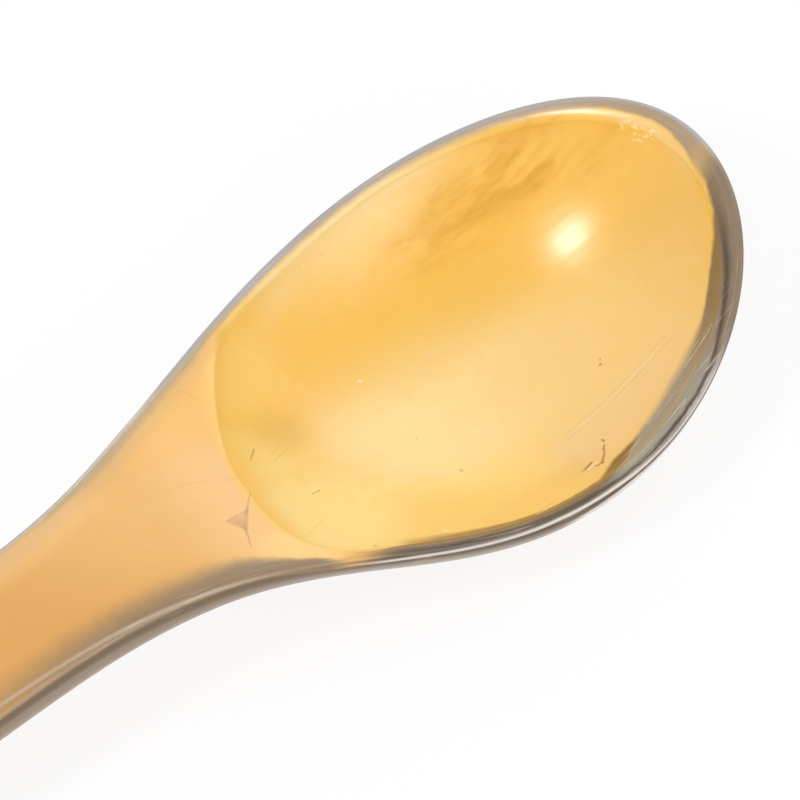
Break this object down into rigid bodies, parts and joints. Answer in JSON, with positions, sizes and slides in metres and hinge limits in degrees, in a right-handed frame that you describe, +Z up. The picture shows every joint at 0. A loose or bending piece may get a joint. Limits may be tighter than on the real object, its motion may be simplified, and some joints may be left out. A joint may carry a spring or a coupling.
{
  "type": "caviar spoon",
  "caption": "Small one-piece spoon of polished blond horn with a deep oval bowl, a rounded lip and a slim curved handle, for serving caviar.",
  "frame": {"origin": "on the table, under the middle of the spoon's length and the middle line of its handle", "axes": "+X along the spoon to the tip of the bowl, +Y to the left of someone looking along +X, +Z up from the table it lies on"},
  "size_m": [0.118, 0.0265, 0.0113],
  "materials": {
    "horn": "polished translucent horn"
  },
  "bodies": {
    "root": {"spoon": "horn"}
  },
  "joints": []
}
